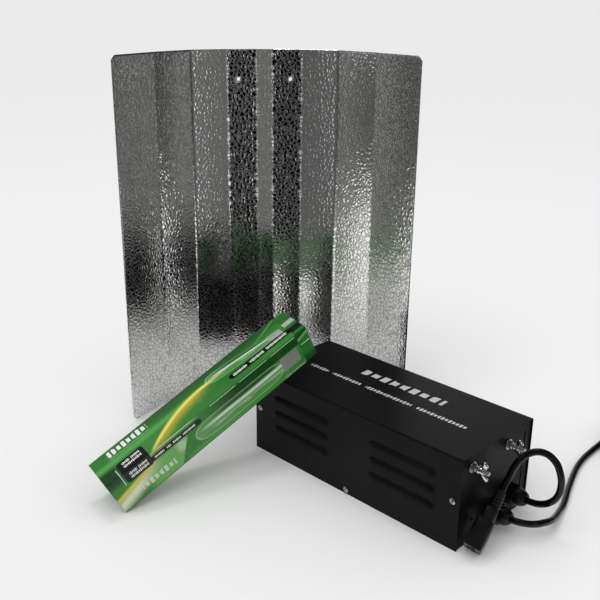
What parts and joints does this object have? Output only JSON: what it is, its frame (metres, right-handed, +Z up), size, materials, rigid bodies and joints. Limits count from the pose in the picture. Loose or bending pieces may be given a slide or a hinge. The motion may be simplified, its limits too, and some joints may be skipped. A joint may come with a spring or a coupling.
{
  "type": "grow lamp kit",
  "caption": "Grow lamp kit: a folded hammered-aluminium wing reflector, a magnetic ballast box with its two leads, and a discharge lamp in a slide-out carton.",
  "frame": {"origin": "on the floor, under the middle of the three units' common box, leads left out", "axes": "+X to the viewer's right along the reflector's mouth, +Y back into the reflector, +Z up"},
  "size_m": [0.7823, 0.4829, 0.502],
  "materials": {
    "black_coat": "fine satin black powder coat",
    "bright_zinc": "bright zinc plating",
    "chrome": "polished chrome plating",
    "black_nylon": "moulded black nylon",
    "seal_rubber": "soft matt rubber",
    "lamination_steel": "varnished steel laminations",
    "enamelled_copper": "varnished copper winding",
    "can_aluminium": "drawn aluminium",
    "white_plastic": "moulded white plastic",
    "brass": "turned brass",
    "brown_wire": "brown insulation",
    "blue_wire": "blue insulation",
    "earth_wire": "green insulation with a yellow stripe",
    "cord_jacket": "smooth black cable jacket with a soft gloss",
    "plug_rubber": "moulded black plug plastic",
    "tie_strap": "woven black strap",
    "nickel_pins": "nickel plating",
    "hammered_aluminium": "bright hammered sheet",
    "printed_card": "glossy green print",
    "tray_card": "glossy dark green print",
    "brown_card": "plain brown board",
    "lamp_glass": "clear hard glass",
    "arc_ceramic": "translucent white alumina",
    "lamp_wire": "drawn nickel wire",
    "stem_glass": "pressed glass",
    "cap_brass": "nickelled brass",
    "cap_vitrite": "black glazed insulator"
  },
  "bodies": {
    "ballast": {"chassis": "black_coat", "cover": "black_coat", "cover_screws": "bright_zinc", "mounting_studs": "bright_zinc", "stud_washers": "bright_zinc", "stud_nuts": "bright_zinc", "stud_inner_nuts": "bright_zinc", "cable_glands": "black_nylon", "gland_domes": "black_nylon", "gland_locknuts": "black_nylon", "gland_seals": "seal_rubber", "choke_core": "lamination_steel", "choke_coil": "enamelled_copper", "choke_bracket": "bright_zinc", "inner_screws": "bright_zinc", "capacitor_can": "can_aluminium", "capacitor_top": "black_nylon", "capacitor_clamp": "bright_zinc", "ignitor_case": "white_plastic", "terminal_block": "white_plastic", "terminal_screws": "brass", "earth_screw": "bright_zinc", "brown_wires": "brown_wire", "blue_wires": "blue_wire", "earth_wire": "earth_wire", "lamp_lead": "cord_jacket", "connector_boot": "plug_rubber", "lamp_connector": "plug_rubber", "mains_lead": "cord_jacket", "mains_lead_coil": "cord_jacket", "coil_tie": "tie_strap", "plug_boot": "plug_rubber", "mains_plug": "plug_rubber", "plug_pins": "nickel_pins"},
    "wing_nut_front": {"wing_nut_front": "chrome"},
    "wing_nut_back": {"wing_nut_back": "chrome"},
    "reflector": {"reflector_sheet": "hammered_aluminium"},
    "carton": {"carton_sleeve": "printed_card"},
    "tray": {"carton_tray": "tray_card", "lamp_collars": "brown_card", "lamp_glass": "lamp_glass", "arc_tube": "arc_ceramic", "lamp_frame": "lamp_wire", "lamp_stem": "stem_glass", "lamp_cap": "cap_brass", "cap_insulator": "cap_vitrite", "cap_contact": "nickel_pins"}
  },
  "joints": [
    {"name": "wing_nut_front_turn", "type": "hinge", "parent": "ballast", "child": "wing_nut_front", "pos_m": [0.17231, -0.21648, 0.098], "axis": [0.6428, -0.766, 0], "continuous": true},
    {"name": "wing_nut_back_turn", "type": "hinge", "parent": "ballast", "child": "wing_nut_back", "pos_m": [0.2267, -0.17084, 0.098], "axis": [0.6428, -0.766, 0], "continuous": true},
    {"name": "reflector_lift", "type": "slide", "parent": "ballast", "child": "reflector", "axis": [0, 0, 1], "range_m": [0, 0.3]},
    {"name": "carton_lift", "type": "slide", "parent": "ballast", "child": "carton", "axis": [0, 0, 1], "range_m": [0, 0.3]},
    {"name": "tray_slide", "type": "slide", "parent": "carton", "child": "tray", "axis": [0.7784, 0.4265, 0.4606], "range_m": [-0.018, 0.16]}
  ]
}
